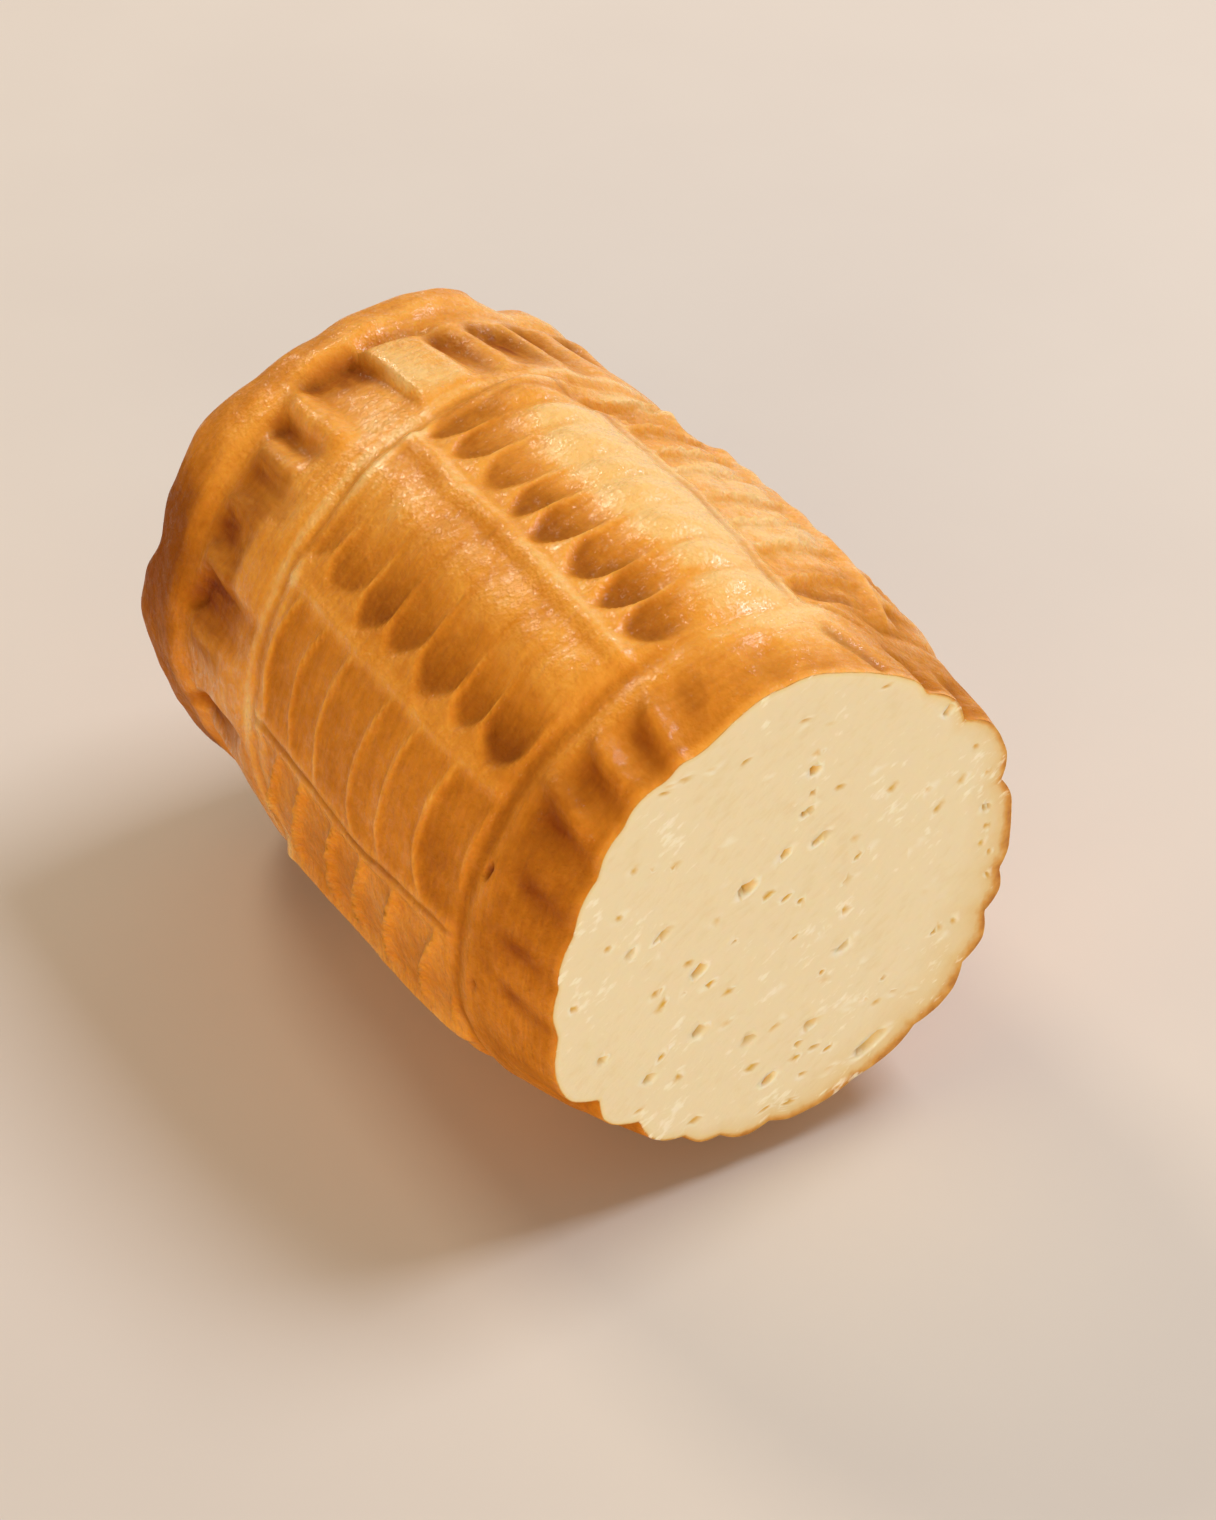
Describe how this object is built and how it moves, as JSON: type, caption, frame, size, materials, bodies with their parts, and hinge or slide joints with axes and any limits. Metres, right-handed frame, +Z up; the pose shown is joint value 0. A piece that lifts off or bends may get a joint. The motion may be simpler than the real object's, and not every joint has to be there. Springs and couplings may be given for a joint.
{
  "type": "cut smoked cheese",
  "caption": "Barrel of smoked sheep's milk cheese with a moulded rind of ridges, lobes and dents, cut across at one end to show the pale paste, lying on its side.",
  "frame": {"origin": "on the surface that the cheese lies on, under the middle of its bounding box", "axes": "+X along the barrel from the rounded back end to the cut face, +Z up, +Y to the left when looking along +X"},
  "size_m": [0.1124, 0.0836, 0.0817],
  "materials": {
    "smoked_rind": "smoked cheese rind, golden brown and satin, over pale cream paste at the cut"
  },
  "bodies": {
    "root": {"cheese": "smoked_rind"}
  },
  "joints": []
}
